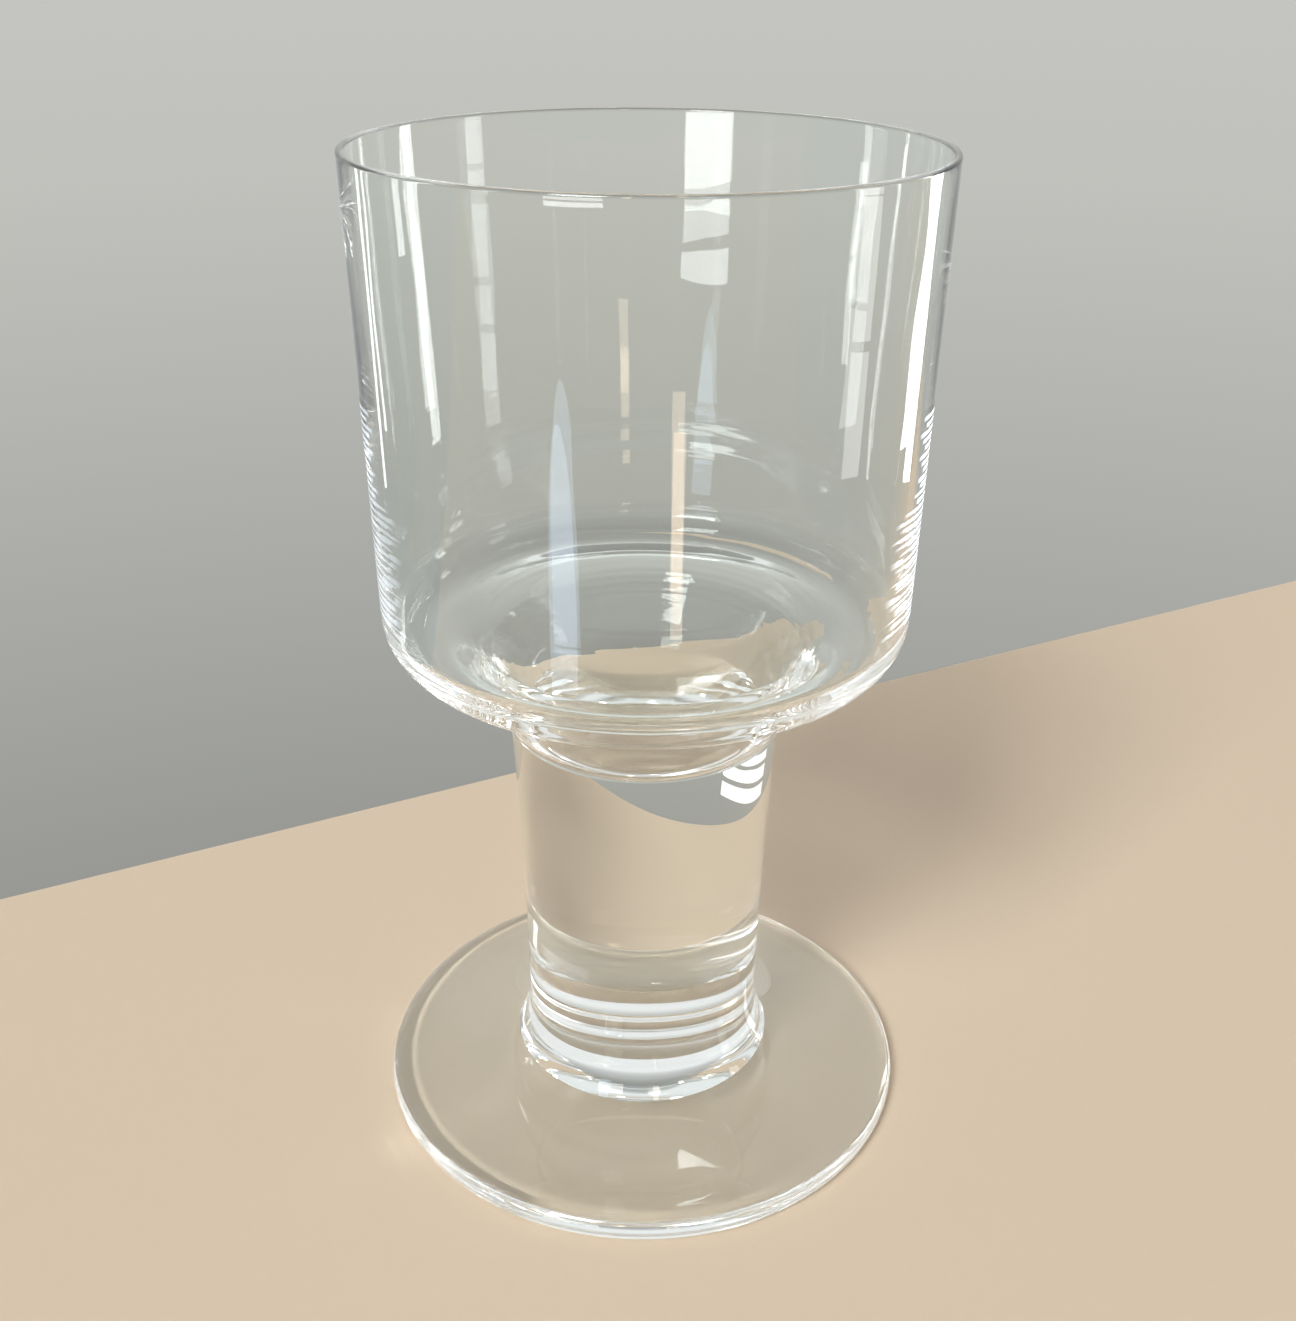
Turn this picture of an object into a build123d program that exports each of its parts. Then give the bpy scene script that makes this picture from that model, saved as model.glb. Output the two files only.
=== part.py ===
from build123d import *
import math
import os

# Clear water goblet. Millimetres, +Z up, origin at the middle of the face it rests on.
# The heights add up from the table: foot, stem, neck, bowl.

FOOT_DIAMETER = 84.7
FOOT_EDGE = 4.2              # thickness of the rounded edge
FOOT_HEIGHT = 8.0            # at the middle, where the stem stands on it
FOOT_HOLLOW = 2.0            # rise of the underside at the middle
REST_WIDTH = 2.5             # flat ring that touches the table

STEM_LENGTH = 58.4           # from the foot to the crease at the neck
STEM_BASE_DIAMETER = 41.6
WAIST_DIAMETER = 37.6        # thinnest place of the stem
WAIST_RISE = 7.0             # its height above the foot

NECK_DIAMETER = 41.0         # at the crease between bowl and stem
NECK_LENGTH = 12.7           # from the crease to the bowl's flat underside
NECK_BLEND = 5.5             # radius from the neck into the underside
UNDERSIDE_FLAT = 0.5         # flat ring between that blend and the heel

BOWL_HEIGHT = 70.9           # from the underside to the top of the lip
RIM_DIAMETER = 79.7
RIM_WALL = 1.0
WALL_BASE_DIAMETER = 76.8    # the tapered side carried down to the underside
BASE_WALL = 2.0              # glass at the foot of the side
HEEL_RADIUS = 7.3
CORNER_RADIUS = 4.0          # inside, between the side and the ledge

LEDGE_THICKNESS = 3.9        # floor ring round the well
LEDGE_WIDTH = 10.45          # from the side to where the ledge and the well's cone would meet
WELL_SLOPE = 51.8            # degrees from level
WELL_DEPTH = 18.5            # below the ledge
SHOULDER_RADIUS = 7.3        # from the ledge into the well
BOTTOM_THICKNESS = 4.2       # bowl glass under the well

CREASE = FOOT_HEIGHT + STEM_LENGTH
UNDERSIDE = CREASE + NECK_LENGTH
HEIGHT = UNDERSIDE + BOWL_HEIGHT
LEDGE = UNDERSIDE + LEDGE_THICKNESS
WELL_BOTTOM = LEDGE - WELL_DEPTH
SEAT = WELL_BOTTOM - BOTTOM_THICKNESS


def turned(outline, blends=()):
    """Solid turned from a closed outline of (radius, height), with its named corners rounded."""
    face = make_face(outline)
    for corner, radius in blends:
        face = fillet(face.vertices().sort_by_distance(corner)[0], radius)
    return revolve(Plane.XZ * face, axis=Axis.Z)


def seat():
    """The round bottom of the bowl that the stem takes hold of, from the axis to the crease."""
    return TangentArc((0, SEAT), (NECK_DIAMETER / 2, CREASE), tangent=(1, 0))


def neck():
    """Outside of the neck: a cone from the crease, blended into the flat underside."""
    crease = (NECK_DIAMETER / 2, CREASE)
    middle = (WALL_BASE_DIAMETER / 2 - HEEL_RADIUS - UNDERSIDE_FLAT, UNDERSIDE - NECK_BLEND)
    reach = math.dist(crease, middle)
    length = math.sqrt(reach**2 - NECK_BLEND**2)
    slope = math.atan2(middle[1] - crease[1], middle[0] - crease[0]) + math.asin(NECK_BLEND / reach)
    cone = Line(crease, (crease[0] + length * math.cos(slope), crease[1] + length * math.sin(slope)))
    return cone, TangentArc(cone @ 1, (middle[0], UNDERSIDE), tangent=cone % 1)


def well():
    """Inside of the well: a round bottom that runs up into a cone."""
    slope = math.radians(WELL_SLOPE)
    mouth = WALL_BASE_DIAMETER / 2 - BASE_WALL - LEDGE_WIDTH
    apex = LEDGE - mouth * math.tan(slope)
    radius = (WELL_BOTTOM - apex) * math.cos(slope) / (1 - math.cos(slope))
    low = (radius * math.sin(slope), WELL_BOTTOM + radius * (1 - math.cos(slope)))
    return Line((mouth, LEDGE), low), TangentArc((0, WELL_BOTTOM), low, tangent=(1, 0))


def bowl():
    """Blown bowl: thin tapered side, round heel, floor that dips into the neck, round bottom."""
    lip = HEIGHT - RIM_WALL / 2
    rim = RIM_DIAMETER / 2
    heel = (WALL_BASE_DIAMETER / 2, UNDERSIDE)
    corner = (WALL_BASE_DIAMETER / 2 - BASE_WALL, LEDGE)
    cone, blend = neck()
    well_side, well_bottom = well()
    outline = [
        seat(),
        cone,
        blend,
        Line(blend @ 1, heel),
        Line(heel, (rim, lip)),
        ThreePointArc((rim, lip), (rim - RIM_WALL / 2, HEIGHT), (rim - RIM_WALL, lip)),
        Line((rim - RIM_WALL, lip), corner),
        Line(corner, well_side @ 0),
        well_side,
        well_bottom,
        Line((0, WELL_BOTTOM), (0, SEAT)),
    ]
    blends = [(heel, HEEL_RADIUS), (corner, CORNER_RADIUS), (well_side @ 0, SHOULDER_RADIUS)]
    return turned(outline, blends)


def stem():
    """Solid stem: flared on the foot, thinnest just above it, widening slowly up to the neck."""
    waist = (WAIST_DIAMETER / 2, FOOT_HEIGHT + WAIST_RISE)
    base = (STEM_BASE_DIAMETER / 2, FOOT_HEIGHT)
    outline = [
        Line((0, FOOT_HEIGHT), base),
        TangentArc(waist, base, tangent=(0, -1)),
        TangentArc(waist, (NECK_DIAMETER / 2, CREASE), tangent=(0, 1)),
        seat(),
        Line((0, SEAT), (0, FOOT_HEIGHT)),
    ]
    return turned(outline)


def foot():
    """Spun disc foot: full round edge, top rising to the stem, hollow underneath."""
    edge = FOOT_DIAMETER / 2 - FOOT_EDGE / 2
    rest = edge - REST_WIDTH
    top = (edge, FOOT_EDGE)
    outline = [
        TangentArc((0, FOOT_HOLLOW), (rest, 0), tangent=(1, 0)),
        Line((rest, 0), (edge, 0)),
        ThreePointArc((edge, 0), (FOOT_DIAMETER / 2, FOOT_EDGE / 2), top),
        TangentArc(top, (STEM_BASE_DIAMETER / 2, FOOT_HEIGHT), tangent=(-1, 0)),
        Line((STEM_BASE_DIAMETER / 2, FOOT_HEIGHT), (0, FOOT_HEIGHT)),
        Line((0, FOOT_HEIGHT), (0, FOOT_HOLLOW)),
    ]
    return turned(outline)


os.makedirs("parts", exist_ok=True)
export_step(bowl(), "parts/bowl.step")
export_step(stem(), "parts/stem.step")
export_step(foot(), "parts/foot.step")
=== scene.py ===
import bpy
import math
from mathutils import Matrix, Vector


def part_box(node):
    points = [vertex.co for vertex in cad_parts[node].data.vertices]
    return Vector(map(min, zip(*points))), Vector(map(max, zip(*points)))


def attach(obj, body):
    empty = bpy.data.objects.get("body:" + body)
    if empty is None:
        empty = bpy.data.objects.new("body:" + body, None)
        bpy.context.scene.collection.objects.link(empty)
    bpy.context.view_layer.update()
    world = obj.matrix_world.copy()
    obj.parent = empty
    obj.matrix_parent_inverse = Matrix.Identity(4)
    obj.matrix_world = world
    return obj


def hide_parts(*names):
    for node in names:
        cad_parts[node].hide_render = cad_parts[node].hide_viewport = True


# A clear water goblet: bowl, stem and foot of blown glass, stuck together hot.
# Each piece is an outline of (radius, height) turned round the upright axis.
# Lengths are in metres. Azimuths are degrees round the axis: 0 at the camera's side, 90 at its right.

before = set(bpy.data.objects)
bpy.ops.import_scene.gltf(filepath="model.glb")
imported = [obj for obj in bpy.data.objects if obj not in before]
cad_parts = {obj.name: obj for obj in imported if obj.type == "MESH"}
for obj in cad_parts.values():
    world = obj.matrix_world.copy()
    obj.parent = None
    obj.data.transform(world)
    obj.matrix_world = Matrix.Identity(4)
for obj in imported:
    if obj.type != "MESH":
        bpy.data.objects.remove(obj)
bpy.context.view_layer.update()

# Sizes

MM = 0.001
SEGMENTS = 160                  # facets round the axis
ARC_STEP = math.radians(3)      # turn between two points of a round stretch
RUN_STEP = 1.0 * MM             # longest straight step along an outline
WELD = 0.001 * MM               # points closer than this are one

foot_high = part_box("foot")[1]
stem_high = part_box("stem")[1]
bowl_low, bowl_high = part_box("bowl")

FOOT_RADIUS = foot_high.x
FOOT_HEIGHT = foot_high.z
FOOT_EDGE = 4.2 * MM            # thickness of the rounded edge
FOOT_HOLLOW = 2.0 * MM          # rise of the underside at the middle
REST_WIDTH = 2.5 * MM           # flat ring that touches the table

STEM_BASE = stem_high.x         # radius on the foot
WAIST = 18.8 * MM               # radius at the thinnest place
WAIST_RISE = 7.0 * MM           # its height above the foot
CREASE = stem_high.z            # height of the line where the stem meets the neck

NECK = 20.5 * MM                # radius at that line
NECK_LENGTH = 12.7 * MM         # from that line to the bowl's flat underside
NECK_BLEND = 5.5 * MM           # radius from the neck into the underside
SEAT = bowl_low.z               # lowest point of the bowl's round bottom, held by the stem
UNDERSIDE = CREASE + NECK_LENGTH
UNDERSIDE_FLAT = 0.5 * MM       # flat ring between that blend and the heel
WALL_BASE = 38.4 * MM           # radius of the side carried down to the underside
HEEL = 7.3 * MM                 # outside radius from the underside into the side
RIM = bowl_high.x
RIM_WALL = 1.0 * MM
HEIGHT = bowl_high.z
BASE_WALL = 2.0 * MM            # glass at the foot of the side
CORNER = 4.0 * MM               # inside radius from the side into the ledge
LEDGE_THICKNESS = 3.9 * MM      # of the floor ring round the well
LEDGE = UNDERSIDE + LEDGE_THICKNESS
LEDGE_WIDTH = 10.45 * MM        # from the side to where the ledge and the well's cone would meet
WELL_SLOPE = math.radians(51.8)
WELL_DEPTH = 18.5 * MM          # below the ledge
WELL_BOTTOM = LEDGE - WELL_DEPTH
SHOULDER = 7.3 * MM             # radius from the ledge into the well

RING_PITCH = 1.5 * MM           # uneven rings left in the glass as the bowl was turned
RING_STEP = RING_PITCH / 5      # fine enough for their slopes
RING_DEPTH = 0.0035 * MM
RING_WANDER = 110 * MM          # how far round a ring runs before it loses itself
SIDE_RINGS = (86 * MM, 89 * MM, 96 * MM, 123 * MM)      # heights: none, full, full, none again
HEEL_RINGS = (79 * MM, 80.5 * MM, 84 * MM, 86.5 * MM)
WELL_RINGS = (74 * MM, 77 * MM, 82 * MM, 83 * MM)
WELL_RING_SHARE = 16.0          # depth in the well, against the side
SWELL_LENGTH = 14 * MM          # slow unevenness of blown glass, all over
SWELL_DEPTH = 0.03 * MM


# Outlines


def run(start, end, step=RUN_STEP):
    """Points of a straight run, both ends included."""
    start, end = Vector(start), Vector(end)
    count = max(1, math.ceil((end - start).length / step))
    return [start.lerp(end, k / count) for k in range(count + 1)]


def arc(middle, radius, first, last, step=RUN_STEP):
    """Points of a round stretch, both ends included. Angles in radians from level outwards."""
    turn = abs(last - first)
    count = math.ceil(max(turn / ARC_STEP, turn * radius / step))
    angles = [first + (last - first) * k / count for k in range(count + 1)]
    return [Vector((middle[0] + radius * math.cos(a), middle[1] + radius * math.sin(a))) for a in angles]


def rounded(before, corner, after, radius, step=RUN_STEP):
    """Points of the round stretch that takes the place of a corner between two straight runs."""
    corner = Vector(corner)
    back, on = (Vector(before) - corner).normalized(), (Vector(after) - corner).normalized()
    half = back.angle(on) / 2
    middle = corner + (back + on).normalized() * (radius / math.sin(half))
    reach = radius / math.tan(half)
    first = corner + back * reach - middle
    turn = math.pi - 2 * half
    if back.x * on.y - back.y * on.x > 0:
        turn = -turn
    angle = math.atan2(first.y, first.x)
    return arc(middle, radius, angle, angle + turn, step)


def cap(edge, height):
    """Points of a shallow round cap from the axis at that height to its edge."""
    rise = edge[1] - height
    radius = (edge[0] ** 2 + rise**2) / (2 * rise)
    first = -math.copysign(math.pi / 2, rise)
    middle = (0.0, height + radius)
    last = math.atan2(edge[1] - middle[1], edge[0])
    return arc(middle, abs(radius), first, last)


def tangent_arc(start, heading, end):
    """Points of the round stretch that leaves start along heading and ends at end."""
    start, heading, end = Vector(start), Vector(heading).normalized(), Vector(end)
    side = Vector((-heading.y, heading.x))
    chord = end - start
    radius = chord.length_squared / (2 * chord.dot(side))
    middle = start + side * radius
    first, last = start - middle, end - middle
    turn = first.angle_signed(last)
    angle = math.atan2(first.y, first.x)
    return arc(middle, abs(radius), angle, angle - turn)


def bowl_outline():
    """Round seat of the bowl, then its skin from the crease over the lip to the bottom of the well."""
    blend = Vector((WALL_BASE - HEEL - UNDERSIDE_FLAT, UNDERSIDE - NECK_BLEND))
    crease = Vector((NECK, CREASE))
    aim = blend - crease
    slope = math.atan2(aim.y, aim.x) + math.asin(NECK_BLEND / aim.length)
    throat = Vector((NECK + (UNDERSIDE - CREASE) / math.tan(slope), UNDERSIDE))
    heel = Vector((WALL_BASE, UNDERSIDE))
    lip = Vector((RIM, HEIGHT - RIM_WALL / 2))
    corner = Vector((WALL_BASE - BASE_WALL, LEDGE))
    mouth = Vector((WALL_BASE - BASE_WALL - LEDGE_WIDTH, LEDGE))
    apex = LEDGE - mouth.x * math.tan(WELL_SLOPE)
    ball = (WELL_BOTTOM - apex) * math.cos(WELL_SLOPE) / (1 - math.cos(WELL_SLOPE))

    neck = rounded(crease, throat, heel, NECK_BLEND)
    turn = rounded(throat, heel, lip, HEEL, RING_STEP)
    high = turn[-1].lerp(lip, (SIDE_RINGS[-1] - turn[-1].y) / (lip.y - turn[-1].y))
    edge = arc((RIM - RIM_WALL / 2, lip.y), RIM_WALL / 2, 0, math.pi)
    inside = rounded(edge[-1], corner, mouth, CORNER)
    deep = edge[-1].lerp(inside[0], (edge[-1].y - SIDE_RINGS[-1]) / (edge[-1].y - inside[0].y))
    shoulder = rounded(corner, mouth, (0, apex), SHOULDER, RING_STEP)
    bottom = arc((0, WELL_BOTTOM + ball), ball, WELL_SLOPE - math.pi / 2, -math.pi / 2)
    return [
        ("joint", cap((NECK, CREASE), SEAT)),
        ("skin", run(crease, neck[0])),
        ("skin", neck),
        ("heel", turn),
        ("side", run(turn[-1], high, RING_STEP)),
        ("skin", run(high, lip)),
        ("skin", edge),
        ("skin", run(edge[-1], deep)),
        ("side", run(deep, inside[0], RING_STEP)),
        ("skin", inside),
        ("skin", run(inside[-1], shoulder[0])),
        ("well", shoulder),
        ("well", run(shoulder[-1], bottom[0], RING_STEP)),
        ("skin", bottom),
    ]


def stem_outline():
    """Flat end of the stem, its skin from the foot to the crease, and the round seat on top."""
    waist = (WAIST, FOOT_HEIGHT + WAIST_RISE)
    flare = tangent_arc(waist, (0, -1), (STEM_BASE, FOOT_HEIGHT))
    rise = tangent_arc(waist, (0, 1), (NECK, CREASE))
    return [
        ("joint", run((0, FOOT_HEIGHT), (STEM_BASE, FOOT_HEIGHT))),
        ("skin", flare[::-1]),
        ("skin", rise),
        ("joint", cap((NECK, CREASE), SEAT)[::-1]),
    ]


def foot_outline():
    """Skin of the foot from the hollow underside round the edge to the stem, and the flat joint."""
    edge = FOOT_RADIUS - FOOT_EDGE / 2
    rest = edge - REST_WIDTH
    return [
        ("skin", cap((rest, 0), FOOT_HOLLOW)),
        ("skin", run((rest, 0), (edge, 0))),
        ("skin", arc((edge, FOOT_EDGE / 2), FOOT_EDGE / 2, -math.pi / 2, math.pi / 2)),
        ("skin", tangent_arc((edge, FOOT_EDGE), (-1, 0), (STEM_BASE, FOOT_HEIGHT))),
        ("joint", run((STEM_BASE, FOOT_HEIGHT), (0, FOOT_HEIGHT))),
    ]


# Helpers for nodes, colours, objects and materials


def add(tree, kind, inputs=(), **settings):
    """Adds a node with its settings; each input is a value or the socket that feeds it."""
    node = tree.nodes.new(kind)
    for name, value in settings.items():
        setattr(node, name, value)
    for key, value in dict(inputs).items():
        if isinstance(value, bpy.types.NodeSocket):
            tree.links.new(value, node.inputs[key])
        else:
            node.inputs[key].default_value = value
    return node


def colour(hex_code):
    """Linear colour of an sRGB hex value."""
    parts = [int(hex_code[k:k + 2], 16) / 255 for k in (1, 3, 5)]
    return [p / 12.92 if p <= 0.04045 else ((p + 0.055) / 1.055) ** 2.4 for p in parts] + [1.0]


def new_object(name, data):
    """Object in the scene for a mesh, lamp or camera."""
    thing = bpy.data.objects.new(name, data)
    bpy.context.scene.collection.objects.link(thing)
    return thing


def new_material(name):
    """Material with an empty node tree, and that tree."""
    material = bpy.data.materials.new(name)
    material.use_nodes = True
    material.node_tree.nodes.clear()
    return material, material.node_tree


# Materials


def fire_polished_glass():
    """Clear soda-lime glass, blown and fire-polished: sharp bright highlights, faint cool edges."""
    material, tree = new_material("soda_lime_glass_fire_polished")
    shader = add(tree, "ShaderNodeBsdfPrincipled", {
        "Base Color": colour("#FAFDFC"),
        "Roughness": 0.0,
        "IOR": 1.52,
        "Transmission Weight": 1.0,
    })
    add(tree, "ShaderNodeOutputMaterial", {"Surface": shader.outputs[0]})
    return material


def fused_joint():
    """Where two pieces were stuck together hot the glass runs on, so the joint shows nothing."""
    material, tree = new_material("soda_lime_glass_fused_joint")
    shader = add(tree, "ShaderNodeBsdfTransparent", {"Color": (1, 1, 1, 1)})
    add(tree, "ShaderNodeOutputMaterial", {"Surface": shader.outputs[0]})
    return material


def matte_paint(name, hex_code):
    """Matte painted board under the goblet: even and pale."""
    material, tree = new_material(name)
    shader = add(tree, "ShaderNodeBsdfPrincipled", {
        "Base Color": colour(hex_code),
        "Roughness": 0.9,
        "Specular IOR Level": 0.0,
    })
    add(tree, "ShaderNodeOutputMaterial", {"Surface": shader.outputs[0]})
    return material


# Turned pieces

AXIS_RING = 10 * MM             # radius of the circle that the outline is carried round
SHARP = math.radians(15)        # edges bent more than this stay sharp
NOISE_SWING = 2.0               # units of smooth noise from one crest to about the next
TURNED_INPUTS = {
    "Segments": "NodeSocketInt",
    "Ring Pitch": "NodeSocketFloat",
    "Ring Depth": "NodeSocketFloat",
    "Ring Wander": "NodeSocketFloat",
    "Swell Length": "NodeSocketFloat",
    "Swell Depth": "NodeSocketFloat",
    "Glass": "NodeSocketMaterial",
    "Joint": "NodeSocketMaterial",
}


def swept_outline(tree, given):
    """Carries the outline round the axis and joins the seam and the poles."""
    line = add(tree, "GeometryNodeMeshToCurve", {"Mesh": given["Geometry"]})
    laid = add(tree, "GeometryNodeTransform", {
        "Geometry": line.outputs[0],
        "Translation": (-AXIS_RING, 0, 0),
        "Rotation": (math.pi / 2, 0, 0),
    })
    circle = add(tree, "GeometryNodeCurvePrimitiveCircle", {
        "Resolution": given["Segments"],
        "Radius": AXIS_RING,
    })
    swept = add(tree, "GeometryNodeCurveToMesh", {
        "Curve": circle.outputs[0],
        "Profile Curve": laid.outputs[0],
    })
    facing = add(tree, "GeometryNodeFlipFaces", {"Mesh": swept.outputs[0]})
    closed = add(tree, "GeometryNodeMergeByDistance", {"Geometry": facing.outputs[0], "Distance": WELD})
    return closed.outputs[0]


def ring_spot(tree, given, place):
    """Where a point lies in the rings' noise: slow round the goblet, quick along the outline."""
    parts = add(tree, "ShaderNodeSeparateXYZ", {0: place}).outputs
    along = add(tree, "GeometryNodeInputNamedAttribute", {"Name": "along"}, data_type="FLOAT")
    unit = add(tree, "ShaderNodeMath", {0: given["Ring Pitch"], 1: NOISE_SWING}, operation="DIVIDE")
    count = add(tree, "ShaderNodeMath", {0: along.outputs[0], 1: unit.outputs[0]}, operation="DIVIDE")
    left = add(tree, "ShaderNodeMath", {0: parts["X"], 1: given["Ring Wander"]}, operation="DIVIDE")
    back = add(tree, "ShaderNodeMath", {0: parts["Y"], 1: given["Ring Wander"]}, operation="DIVIDE")
    spot = add(tree, "ShaderNodeCombineXYZ", {
        "X": left.outputs[0],
        "Y": back.outputs[0],
        "Z": count.outputs[0],
    })
    return spot.outputs[0]


def swell_spot(tree, given, place):
    """Where a point lies in the noise of the slow unevenness."""
    rate = add(tree, "ShaderNodeMath", {0: 1.0, 1: given["Swell Length"]}, operation="DIVIDE")
    spot = add(tree, "ShaderNodeVectorMath", {0: place, "Scale": rate.outputs[0]}, operation="SCALE")
    return spot.outputs[0]


def unevenness(tree, spot, depth, share):
    """Noise at a spot, up to a depth in or out, times the share that the outline names for it."""
    noise = add(tree, "ShaderNodeTexNoise", {"Vector": spot, "Scale": 1.0, "Detail": 0.0})
    wave = add(tree, "ShaderNodeMapRange", {"Value": noise.outputs[0], "To Min": -1.0, "To Max": 1.0})
    height = add(tree, "ShaderNodeMath", {0: wave.outputs[0], 1: depth}, operation="MULTIPLY")
    part = add(tree, "GeometryNodeInputNamedAttribute", {"Name": share}, data_type="FLOAT")
    faded = add(tree, "ShaderNodeMath", {0: height.outputs[0], 1: part.outputs[0]}, operation="MULTIPLY")
    return faded.outputs[0]


def uneven_skin(tree, given, shape):
    """Moves the skin in and out by the fine rings and the slow unevenness."""
    place = add(tree, "GeometryNodeInputPosition").outputs[0]
    rings = unevenness(tree, ring_spot(tree, given, place), given["Ring Depth"], "ring")
    swell = unevenness(tree, swell_spot(tree, given, place), given["Swell Depth"], "skin")
    total = add(tree, "ShaderNodeMath", {0: rings, 1: swell}, operation="ADD")
    outwards = add(tree, "GeometryNodeInputNormal").outputs[0]
    offset = add(tree, "ShaderNodeVectorMath", {0: outwards, "Scale": total.outputs[0]}, operation="SCALE")
    moved = add(tree, "GeometryNodeSetPosition", {"Geometry": shape, "Offset": offset.outputs[0]})
    return moved.outputs[0]


def dressed_glass(tree, given, shape):
    """Shades the skin smooth but for its creases, and sets the materials of the skin and the joints."""
    smooth = add(tree, "GeometryNodeSetShadeSmooth", {"Geometry": shape, "Shade Smooth": True})
    angle = add(tree, "GeometryNodeInputMeshEdgeAngle")
    bent = add(tree, "FunctionNodeCompare", {0: angle.outputs[0], 1: SHARP}, operation="GREATER_THAN")
    creased = add(tree, "GeometryNodeSetShadeSmooth", {
        "Geometry": smooth.outputs[0],
        "Selection": bent.outputs[0],
        "Shade Smooth": False,
    }, domain="EDGE")
    real = add(tree, "GeometryNodeRealizeInstances", {"Geometry": creased.outputs[0]})
    glass = add(tree, "GeometryNodeSetMaterial", {"Geometry": real.outputs[0], "Material": given["Glass"]})
    joint = add(tree, "GeometryNodeInputNamedAttribute", {"Name": "joint"}, data_type="BOOLEAN")
    done = add(tree, "GeometryNodeSetMaterial", {
        "Geometry": glass.outputs[0],
        "Selection": joint.outputs[0],
        "Material": given["Joint"],
    })
    return done.outputs[0]


def turned_tree():
    """Node tree that turns an outline into a piece of blown glass."""
    tree = bpy.data.node_groups.new("turned glass", "GeometryNodeTree")
    tree.interface.new_socket("Geometry", in_out="INPUT", socket_type="NodeSocketGeometry")
    for name, kind in TURNED_INPUTS.items():
        tree.interface.new_socket(name, in_out="INPUT", socket_type=kind)
    tree.interface.new_socket("Geometry", in_out="OUTPUT", socket_type="NodeSocketGeometry")
    given = add(tree, "NodeGroupInput").outputs
    shape = swept_outline(tree, given)
    shape = uneven_skin(tree, given, shape)
    shape = dressed_glass(tree, given, shape)
    add(tree, "NodeGroupOutput", {"Geometry": shape})
    return tree


def between(height, low, low_full, high_full, high):
    """1 between the two full heights, 0 outside the outer two."""
    return max(0.0, min(1.0, (height - low) / (low_full - low), (high - height) / (high - high_full)))


def ring_share(marks, point):
    """How deep the rings are at a point of the outline, against their full depth on the side."""
    if marks == {"side"}:
        return between(point.y, *SIDE_RINGS)
    if marks == {"heel"}:
        return between(point.y, *HEEL_RINGS)
    if marks == {"well"}:
        return WELL_RING_SHARE * between(point.y, *WELL_RINGS)
    return 0.0


def outline_mesh(name, outline):
    """The outline as a line of points, each with what the node tree asks of it."""
    points, marks = [], []
    for mark, stretch in outline:
        for point in stretch:
            if points and (point - points[-1]).length < WELD:
                marks[-1].add(mark)
            else:
                points.append(point)
                marks.append({mark})
    edges = [(k, k + 1) for k in range(len(points) - 1)]
    mesh = bpy.data.meshes.new(name)
    mesh.from_pydata([(max(p.x, 0.0), 0.0, p.y) for p in points], edges, [])
    asked = {
        "joint": ("BOOLEAN", ["joint" in m for m in marks]),
        "skin": ("FLOAT", [float("joint" not in m) for m in marks]),
        "ring": ("FLOAT", [ring_share(m, p) for m, p in zip(marks, points)]),
        "along": ("FLOAT", [p.x + p.y for p in points]),
    }
    for key, (kind, values) in asked.items():
        mesh.attributes.new(key, kind, "POINT").data.foreach_set("value", values)
    return mesh


def turned_piece(name, outline, tree, settings):
    """One closed glass piece from its outline, as a plain mesh at its place."""
    line = outline_mesh(name, outline)
    piece = new_object(name, line)
    modifier = piece.modifiers.new("turned", "NODES")
    modifier.node_group = tree
    for socket in tree.interface.items_tree:
        if socket.in_out == "INPUT" and socket.name in settings:
            modifier[socket.identifier] = settings[socket.name]
    shown = piece.evaluated_get(bpy.context.evaluated_depsgraph_get())
    finished = bpy.data.meshes.new_from_object(shown)
    piece.modifiers.clear()
    piece.data = finished
    bpy.data.meshes.remove(line)
    return piece


settings = {
    "Segments": SEGMENTS,
    "Ring Pitch": RING_PITCH,
    "Ring Depth": RING_DEPTH,
    "Ring Wander": RING_WANDER,
    "Swell Length": SWELL_LENGTH,
    "Swell Depth": SWELL_DEPTH,
    "Glass": fire_polished_glass(),
    "Joint": fused_joint(),
}
turning = turned_tree()
for node, outline in (("bowl", bowl_outline()), ("stem", stem_outline()), ("foot", foot_outline())):
    piece = turned_piece("glass_" + node, outline, turning, settings)
    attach(piece, "root")
    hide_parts(node)


# Stage: a pale table top whose far edge runs behind the goblet, before a pale backdrop that painted shade
# darkens low down

TABLE_GAP = 0.05 * MM           # more than the unevenness of the ring that the foot rests on
TABLE_EDGE = 97 * MM            # from the axis to the far edge
TABLE_TURN = math.radians(27.3)     # of that edge, seen from above
TABLE_REACH = 2.0               # to the other sides
TABLE_THICKNESS = 30 * MM
TABLE_COLOUR = "#D8C6AF"
# Below level the backdrop darkens towards the bottom as painted shade, like a wall's shadow where it meets a
# table. The near-white stops above level are a painted bright band that lights nothing and shows only in the
# glass's reflections. The last stop is darker near overhead.
BACKDROP_AND_SHADE_COLOURS = (            # by height: sine of the angle above level
    (-0.60, "#90918D"),
    (-0.15, "#C0C1BC"),
    (0.10, "#C9CAC6"),
    (0.35, "#F0F2F2"),
    (0.75, "#F0F2F2"),
    (0.92, "#8E908E"),
)
FILL_LIGHT = 0.5                # even light on the table from all round
NO_BOUNCE = 0.5                 # a count of bounces below this is none

LAMP_POWER = 4.0                # watts a square metre for a lamp of brightness 1, which shows as white
KEY_AZIMUTH = -29
KEY_RISE = 42                   # degrees above level
KEY_DISTANCE = 12.0             # far off, so that it lights the table evenly
KEY_SIZE = 3.45
KEY_BRIGHTNESS = 22.0
BAR = 3 * MM                    # between two panes of a window

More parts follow.
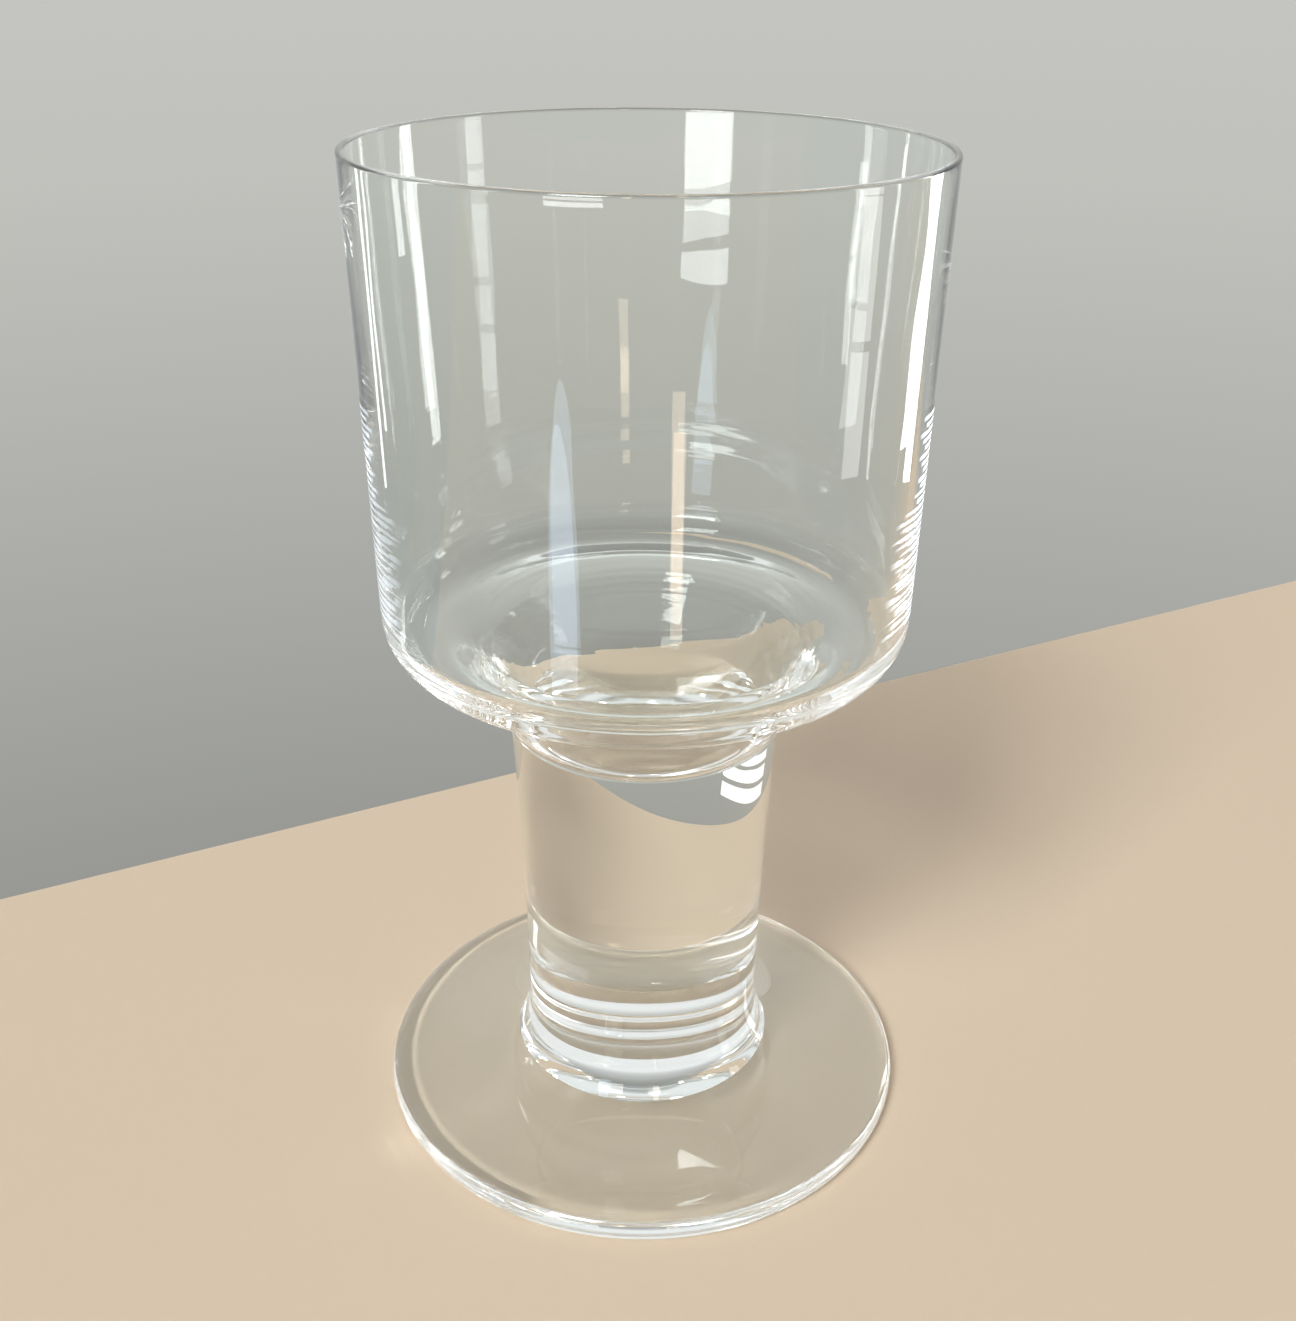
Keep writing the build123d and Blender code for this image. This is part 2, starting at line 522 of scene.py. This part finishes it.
CARD_DISTANCE = 0.20
CARD_HEIGHTS = (0.0, 0.062, 0.135)  # slats from the first to the second, plain up to the third
CARD_END = 162                  # azimuth at which slats and plain part end
LOW_START = 108                 # azimuth at which the low slats may start
HIGH_START = 127                # likewise the high ones and the plain part
START_SPREAD = 12               # degrees over which the slats' starts are spread
LOW_TOP = 0.034                 # up to here the slats are low ones
CARD_STEPS = 8                  # faces along a slat
SLAT_PITCH = 2.1 * MM
SLAT_SHARE = 0.55               # lit part of each pitch
FAR_SHARE = 0.25                # brightness of a slat at its far end, against its near end
PLAIN_BRIGHTNESS = 0.15
GOLDEN = 0.618                  # spreads the starts evenly but without order


def table_top():
    """A slab with its upper face at the goblet's foot."""
    corners = [
        (x, y, z)
        for z in (-TABLE_GAP - TABLE_THICKNESS, -TABLE_GAP)
        for x, y in (
            (-TABLE_REACH, -TABLE_REACH), (TABLE_REACH, -TABLE_REACH),
            (TABLE_REACH, TABLE_EDGE), (-TABLE_REACH, TABLE_EDGE),
        )
    ]
    faces = [(4, 5, 6, 7), (3, 2, 1, 0), (0, 1, 5, 4), (1, 2, 6, 5), (2, 3, 7, 6), (3, 0, 4, 7)]
    mesh = bpy.data.meshes.new("table_top")
    mesh.from_pydata(corners, [], faces)
    mesh.transform(Matrix.Rotation(TABLE_TURN, 4, "Z"))
    mesh.materials.append(matte_paint("table_paint_matte", TABLE_COLOUR))
    return new_object("table_top", mesh)


def area_lamp(name, place, width, height, brightness, tint="#FFFFFF", shape="RECTANGLE"):
    """A soft lamp that faces the goblet's axis, hidden from the camera itself."""
    lamp = bpy.data.lights.new(name, "AREA")
    lamp.shape = shape
    lamp.size, lamp.size_y = width, height
    lamp.color = colour(tint)[:3]
    lamp.energy = LAMP_POWER * brightness * width * height
    light = new_object(name, lamp)
    light.matrix_world = place
    light.visible_camera = False
    return light


def show_as_reflection(lamp):
    """Dims a lamp to nothing for light that no surface has mirrored on its way."""
    lamp.use_nodes = True
    tree = lamp.node_tree
    tree.nodes.clear()
    mirrors = add(tree, "ShaderNodeLightPath").outputs["Glossy Depth"]
    share = add(tree, "ShaderNodeMath", {0: mirrors, 1: NO_BOUNCE}, operation="GREATER_THAN")
    shine = add(tree, "ShaderNodeEmission", {"Strength": share.outputs[0]})
    add(tree, "ShaderNodeOutputLight", {"Surface": shine.outputs[0]})


def softbox(name, azimuth, distance, width, low, high, brightness, tint="#FFFFFF", panes=1,
            outside=True, through=False, shape="RECTANGLE"):
    """An upright lamp beside the goblet, like a window of one or more panes.

    It shows in the glass and lights no table. Where outside is false, the outer skin doesn't mirror it,
    and unless through is true, it shows as a reflection only, not to a look straight through the glass."""
    turn = math.radians(azimuth)
    height = (high - low - BAR * (panes - 1)) / panes
    upright = Matrix.Rotation(turn, 4, "Z") @ Matrix.Rotation(math.pi / 2, 4, "X")
    for k in range(panes):
        middle = low + k * (height + BAR) + height / 2
        place = Vector((math.sin(turn) * distance, -math.cos(turn) * distance, middle))
        stand = Matrix.Translation(place) @ upright
        pane = area_lamp(f"{name}_{k}", stand, width, height, brightness, tint, shape)
        pane.visible_diffuse = False
        pane.visible_glossy = outside
        if not through:
            show_as_reflection(pane.data)


def glowing_slats(name, tint):
    """Light of the slats, as bright as the card's glow attribute says, that hides nothing behind it."""
    material, tree = new_material(name)
    level = add(tree, "ShaderNodeAttribute", attribute_name="glow")
    light = add(tree, "ShaderNodeEmission", {"Color": colour(tint), "Strength": level.outputs["Fac"]})
    clear = add(tree, "ShaderNodeBsdfTransparent")
    both = add(tree, "ShaderNodeAddShader", {0: light.outputs[0], 1: clear.outputs[0]})
    add(tree, "ShaderNodeOutputMaterial", {"Surface": both.outputs[0]})
    return material


def limb_card(name, side, brightness, tint):
    """A curved card of glowing slats, plain higher up, that shows only where the outer skin mirrors it.

    It brings out the rings in the glass along the goblet's left or right edge."""
    low, slatted, top = CARD_HEIGHTS
    bands = []
    for k in range(int((slatted - low) / SLAT_PITCH)):
        base = low + k * SLAT_PITCH
        begin = (LOW_START if base < LOW_TOP else HIGH_START) + START_SPREAD * (k * GOLDEN % 1)
        bands.append((base, base + SLAT_PITCH * SLAT_SHARE, begin, brightness, brightness * FAR_SHARE))
    bands.append((slatted, top, HIGH_START, PLAIN_BRIGHTNESS, PLAIN_BRIGHTNESS))
    corners, faces, glow = [], [], []
    for base, head, begin, near, far in bands:
        for k in range(CARD_STEPS + 1):
            way = k / CARD_STEPS
            turn = math.radians(side * (begin + (CARD_END - begin) * way))
            for z in (base, head):
                corners.append((math.sin(turn) * CARD_DISTANCE, -math.cos(turn) * CARD_DISTANCE, z))
                glow.append(near + (far - near) * way if k else 0.0)
            if k:
                last = len(corners)
                faces.append((last - 4, last - 2, last - 1, last - 3))
    mesh = bpy.data.meshes.new(name)
    mesh.from_pydata(corners, [], faces)
    mesh.attributes.new("glow", "FLOAT", "POINT").data.foreach_set("value", glow)
    mesh.materials.append(glowing_slats(name, tint))
    card = new_object(name, mesh)
    card.visible_camera = False
    card.visible_diffuse = False
    card.visible_transmission = False
    card.visible_shadow = False
    return card


def backdrop_and_shade_ramp(tree):
    """Colour of the backdrop by height: painted shade darkens it below level, a painted bright band above
    shows only in the glass, and it is darker again near overhead.
    """
    heading = add(tree, "ShaderNodeTexCoord").outputs["Generated"]
    rise = add(tree, "ShaderNodeSeparateXYZ", {0: heading}).outputs["Z"]
    share = add(tree, "ShaderNodeMapRange", {"Value": rise, "From Min": -1.0, "From Max": 1.0})
    ramp = add(tree, "ShaderNodeValToRGB", {"Fac": share.outputs[0]})
    stops = ramp.color_ramp.elements
    while len(stops) < len(BACKDROP_AND_SHADE_COLOURS):
        stops.new(1.0)
    for stop, (height, hex_code) in zip(stops, BACKDROP_AND_SHADE_COLOURS):
        stop.position = (height + 1) / 2
        stop.color = colour(hex_code)
    return ramp.outputs[0]


def studio_world():
    """The backdrop that the camera and the glass see, and the even light on the table."""
    world = bpy.data.worlds.new("studio")
    world.use_nodes = True
    tree = world.node_tree
    tree.nodes.clear()
    rays = add(tree, "ShaderNodeLightPath").outputs
    seen = add(tree, "ShaderNodeMath", {
        0: rays["Is Camera Ray"],
        1: rays["Is Glossy Ray"],
    }, operation="MAXIMUM")
    through = add(tree, "ShaderNodeMath", {
        0: seen.outputs[0],
        1: rays["Is Transmission Ray"],
    }, operation="MAXIMUM")
    direct = add(tree, "ShaderNodeMath", {0: rays["Diffuse Depth"], 1: NO_BOUNCE}, operation="LESS_THAN")
    shown = add(tree, "ShaderNodeMath", {0: through.outputs[0], 1: direct.outputs[0]}, operation="MULTIPLY")
    fill = add(tree, "ShaderNodeBackground", {"Color": (1, 1, 1, 1), "Strength": FILL_LIGHT})
    # This colour carries painted shade low down and a painted bright band above level, seen only in the
    # glass.
    backdrop = add(tree, "ShaderNodeBackground", {"Color": backdrop_and_shade_ramp(tree), "Strength": 1.0})
    mixed = add(tree, "ShaderNodeMixShader", {
        0: shown.outputs[0],
        1: fill.outputs[0],
        2: backdrop.outputs[0],
    })
    add(tree, "ShaderNodeOutputWorld", {"Surface": mixed.outputs[0]})
    return world


table_top()
softbox("right_window", azimuth=81, distance=0.32, width=0.05, low=0.003, high=0.14, brightness=2.4, panes=3)
softbox("right_rear_softbox", azimuth=120.5, distance=0.32, width=0.038, low=0.0, high=0.14, brightness=6.5)
softbox("left_rear_window", azimuth=-101, distance=1.0, width=0.07, low=-0.131, high=0.045, brightness=4.5,
        panes=2, outside=False)
softbox("left_edge_window", azimuth=-127, distance=1.0, width=0.04, low=-0.26, high=0.045, brightness=3.5)
softbox("front_window", azimuth=-25.5, distance=0.70, width=0.25, low=0.030, high=0.16, brightness=5.0)
softbox("front_low_window", azimuth=-25.5, distance=0.70, width=0.25, low=0.004, high=0.023, brightness=6.5)
softbox("low_cool_softbox", azimuth=-30, distance=0.19, width=0.035, low=-0.045, high=0.070, brightness=2.2,
        tint="#C9DDF6", shape="ELLIPSE")
softbox("low_warm_softbox", azimuth=11, distance=0.20, width=0.015, low=0.012, high=0.065, brightness=4.0,
        tint="#FFE3C4")
softbox("low_rear_window", azimuth=-140, distance=0.30, width=0.16, low=-0.10, high=-0.07, brightness=0.7,
        panes=3, through=True)
limb_card("left_card", side=-1, brightness=1.6, tint="#DDEBFA")
limb_card("right_card", side=1, brightness=4.0, tint="#EAF2FB")

key_turn = (
    Matrix.Rotation(math.radians(KEY_AZIMUTH), 4, "Z")
    @ Matrix.Rotation(math.radians(90 - KEY_RISE), 4, "X")
)
key_place = key_turn @ Matrix.Translation((0, 0, KEY_DISTANCE))
area_lamp("key_softbox", key_place, KEY_SIZE, KEY_SIZE, KEY_BRIGHTNESS)

scene = bpy.context.scene
scene.world = studio_world()


# Camera, where the photograph was taken from

CAMERA_PLACE = Vector((0.0, -203.2, 176.6)) * MM
CAMERA_PITCH = math.radians(26.43)  # downwards
CAMERA_YAW = math.radians(0.124)
CAMERA_ROLL = math.radians(0.511)
SENSOR_WIDTH = 36               # millimetres, as the lens
LENS = 41.83
CLIP_START = 10 * MM
BOUNCES = 64                    # enough for all the glass in a line of sight
CLEAR_BOUNCES = 32              # likewise for the joints and cards that let light straight through

lens = bpy.data.cameras.new("camera")
lens.sensor_fit = "HORIZONTAL"
lens.sensor_width = SENSOR_WIDTH
lens.lens = LENS
lens.clip_start = CLIP_START
camera = new_object("camera", lens)
camera.matrix_world = (
    Matrix.Translation(CAMERA_PLACE)
    @ Matrix.Rotation(-CAMERA_YAW, 4, "Z")
    @ Matrix.Rotation(math.pi / 2 - CAMERA_PITCH, 4, "X")
    @ Matrix.Rotation(CAMERA_ROLL, 4, "Z")
)
scene.camera = camera
scene.view_settings.view_transform = "Standard"
scene.cycles.max_bounces = BOUNCES
scene.cycles.transmission_bounces = BOUNCES
scene.cycles.glossy_bounces = BOUNCES
scene.cycles.transparent_max_bounces = CLEAR_BOUNCES
scene.cycles.blur_glossy = 0
